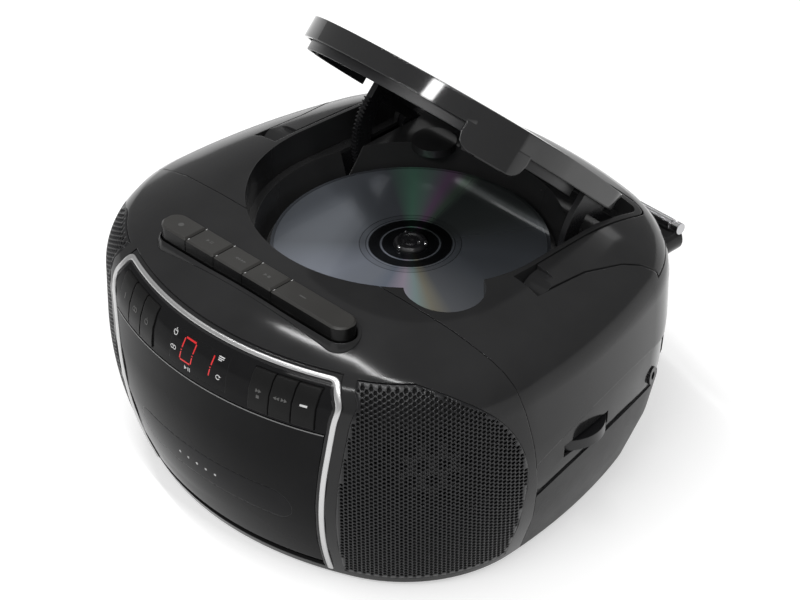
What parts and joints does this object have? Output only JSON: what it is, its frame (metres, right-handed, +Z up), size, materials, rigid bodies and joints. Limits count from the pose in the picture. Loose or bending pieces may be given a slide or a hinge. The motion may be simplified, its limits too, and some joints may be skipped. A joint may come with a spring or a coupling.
{
  "type": "portable disc and cassette player",
  "caption": "Portable player with a domed housing, a round lid over a disc well, a cassette door, press keys, a folding handle and a telescopic antenna.",
  "frame": {"origin": "centre of the overall footprint, on the surface that it stands on", "axes": "+Z up, the front with the cassette door faces -Y, +X to the right seen from the front"},
  "size_m": [0.226, 0.226, 0.205],
  "materials": {
    "housing": "satin moulded plastic",
    "deck": "dark moulded plastic",
    "keys": "matt moulded plastic",
    "panel": "glossy moulded plastic",
    "trim": "silver paint on plastic",
    "window": "smoked clear plastic",
    "grille": "black perforated metal",
    "speaker": "paper cone and steel basket",
    "disc": "mirrored disc",
    "steel": "plain steel",
    "hub": "black moulded plastic",
    "chrome": "polished tube",
    "rubber": "soft rubber",
    "board": "circuit board"
  },
  "bodies": {
    "body": {"antenna_rest": "housing", "base_cover": "housing", "battery_door": "housing", "cd_deck": "deck", "control_panel": "panel", "damper_housing": "deck", "display_module": "panel", "foot_1": "rubber", "foot_2": "rubber", "foot_3": "rubber", "foot_4": "rubber", "front_shell": "housing", "grille_left": "grille", "grille_right": "grille", "headphone_jack": "steel", "main_board": "board", "mains_inlet": "deck", "panel_trim": "trim", "rear_shell": "housing", "sled_rails": "deck", "speaker_left": "speaker", "speaker_right": "speaker", "spindle_motor": "steel", "tape_deck": "deck", "tape_head": "steel", "transformer": "steel"},
    "lid": {"lid_cover": "housing", "lid_inner": "deck", "lid_arm_left": "deck", "lid_arm_right": "deck"},
    "damper_gear": {"damper_pinion": "hub"},
    "spindle": {"turntable": "hub", "disc": "disc"},
    "sled": {"laser_sled": "hub"},
    "carry_handle": {"handle": "housing"},
    "door": {"cassette_door": "panel", "door_window": "window", "cassette_carrier": "deck"},
    "tuning": {"tuning_wheel": "deck"},
    "volume": {"volume_wheel": "deck"},
    "function": {"function_knob": "deck"},
    "capstan": {"capstan": "steel"},
    "pinch": {"pinch_roller": "rubber"},
    "reel_left": {"reel_left": "hub"},
    "reel_right": {"reel_right": "hub"},
    "antenna_pivot": {"antenna_base": "chrome", "antenna_tube": "chrome"},
    "antenna_mid": {"antenna_mid": "chrome"},
    "antenna_tip": {"antenna_tip": "chrome"},
    "key_1": {"key_1": "keys"},
    "key_2": {"key_2": "keys"},
    "key_3": {"key_3": "keys"},
    "key_4": {"key_4": "keys"},
    "key_5": {"key_5": "keys"},
    "button_left_1": {"button_left_1": "panel"},
    "button_left_2": {"button_left_2": "panel"},
    "button_left_3": {"button_left_3": "panel"},
    "button_right_1": {"button_right_1": "panel"},
    "button_right_2": {"button_right_2": "panel"},
    "button_right_3": {"button_right_3": "panel"}
  },
  "joints": [
    {"name": "lid_hinge", "type": "hinge", "parent": "body", "child": "lid", "pos_m": [0, 0.0705, 0.1045], "axis": [1, 0, 0], "range_deg": [0, 44], "stiffness_Nm_per_rad": 0.15, "springref_deg": -34.38},
    {"name": "damper_pinion_spin", "type": "hinge", "parent": "body", "child": "damper_gear", "pos_m": [-0.0603, 0.03606, 0.08844], "axis": [1, 0, 0], "range_deg": [-352, 0]},
    {"name": "disc_spin", "type": "hinge", "parent": "body", "child": "spindle", "pos_m": [0, 0.011, 0.095], "axis": [0, 0, 1], "continuous": true},
    {"name": "laser_travel", "type": "slide", "parent": "body", "child": "sled", "axis": [0, -1, 0], "range_m": [0, 0.03]},
    {"name": "handle_pivot", "type": "hinge", "parent": "body", "child": "carry_handle", "pos_m": [0, 0.013, 0.1045], "axis": [1, 0, 0], "range_deg": [0, 60]},
    {"name": "door_hinge", "type": "hinge", "parent": "body", "child": "door", "pos_m": [0, -0.0904, 0.0115], "axis": [1, 0, 0], "range_deg": [0, 20]},
    {"name": "tuning_turn", "type": "hinge", "parent": "body", "child": "tuning", "pos_m": [0.09589, 0.0076, 0.0535], "axis": [0, 0, 1], "range_deg": [-150, 150]},
    {"name": "volume_turn", "type": "hinge", "parent": "body", "child": "volume", "pos_m": [-0.09589, 0.0076, 0.0535], "axis": [0, 0, 1], "range_deg": [-150, 150]},
    {"name": "function_slide", "type": "slide", "parent": "body", "child": "function", "axis": [0, 1, 0], "range_m": [0, 0.01]},
    {"name": "capstan_spin", "type": "hinge", "parent": "body", "child": "capstan", "pos_m": [0.0125, -0.077, 0.025], "axis": [0, 1, 0], "continuous": true},
    {"name": "pinch_spin", "type": "hinge", "parent": "body", "child": "pinch", "pos_m": [0.013, -0.077, 0.0115], "axis": [0, 1, 0], "continuous": true},
    {"name": "reel_left_spin", "type": "hinge", "parent": "body", "child": "reel_left", "pos_m": [-0.02125, -0.077, 0.048], "axis": [0, 1, 0], "continuous": true},
    {"name": "reel_right_spin", "type": "hinge", "parent": "body", "child": "reel_right", "pos_m": [0.02125, -0.077, 0.048], "axis": [0, 1, 0], "continuous": true},
    {"name": "antenna_raise", "type": "hinge", "parent": "body", "child": "antenna_pivot", "pos_m": [-0.072, 0.1103, 0.088], "axis": [0, -1, 0], "range_deg": [0, 135]},
    {"name": "antenna_pull_1", "type": "slide", "parent": "antenna_pivot", "child": "antenna_mid", "axis": [1, 0, 0], "range_m": [0, 0.11]},
    {"name": "antenna_pull_2", "type": "slide", "parent": "antenna_mid", "child": "antenna_tip", "axis": [1, 0, 0], "range_m": [0, 0.105]},
    {"name": "key_1_press", "type": "slide", "parent": "body", "child": "key_1", "axis": [0, 0, -1], "range_m": [0, 0.0035], "stiffness_N_per_m": 300, "springref_m": -0.001},
    {"name": "key_2_press", "type": "slide", "parent": "body", "child": "key_2", "axis": [0, 0, -1], "range_m": [0, 0.0035], "stiffness_N_per_m": 300, "springref_m": -0.001},
    {"name": "key_3_press", "type": "slide", "parent": "body", "child": "key_3", "axis": [0, 0, -1], "range_m": [0, 0.0035], "stiffness_N_per_m": 300, "springref_m": -0.001},
    {"name": "key_4_press", "type": "slide", "parent": "body", "child": "key_4", "axis": [0, 0, -1], "range_m": [0, 0.0035], "stiffness_N_per_m": 300, "springref_m": -0.001},
    {"name": "key_5_press", "type": "slide", "parent": "body", "child": "key_5", "axis": [0, 0, -1], "range_m": [0, 0.0035], "stiffness_N_per_m": 300, "springref_m": -0.001},
    {"name": "button_left_1_press", "type": "slide", "parent": "body", "child": "button_left_1", "axis": [0, 1, 0], "range_m": [0, 0.0012], "stiffness_N_per_m": 300, "springref_m": -0.001},
    {"name": "button_left_2_press", "type": "slide", "parent": "body", "child": "button_left_2", "axis": [0, 1, 0], "range_m": [0, 0.0012], "stiffness_N_per_m": 300, "springref_m": -0.001},
    {"name": "button_left_3_press", "type": "slide", "parent": "body", "child": "button_left_3", "axis": [0, 1, 0], "range_m": [0, 0.0012], "stiffness_N_per_m": 300, "springref_m": -0.001},
    {"name": "button_right_1_press", "type": "slide", "parent": "body", "child": "button_right_1", "axis": [0, 1, 0], "range_m": [0, 0.0012], "stiffness_N_per_m": 300, "springref_m": -0.001},
    {"name": "button_right_2_press", "type": "slide", "parent": "body", "child": "button_right_2", "axis": [0, 1, 0], "range_m": [0, 0.0012], "stiffness_N_per_m": 300, "springref_m": -0.001},
    {"name": "button_right_3_press", "type": "slide", "parent": "body", "child": "button_right_3", "axis": [0, 1, 0], "range_m": [0, 0.0012], "stiffness_N_per_m": 300, "springref_m": -0.001}
  ],
  "couplings": [
    {"joint": "damper_pinion_spin", "follows": "lid_hinge", "ratio": -8}
  ]
}
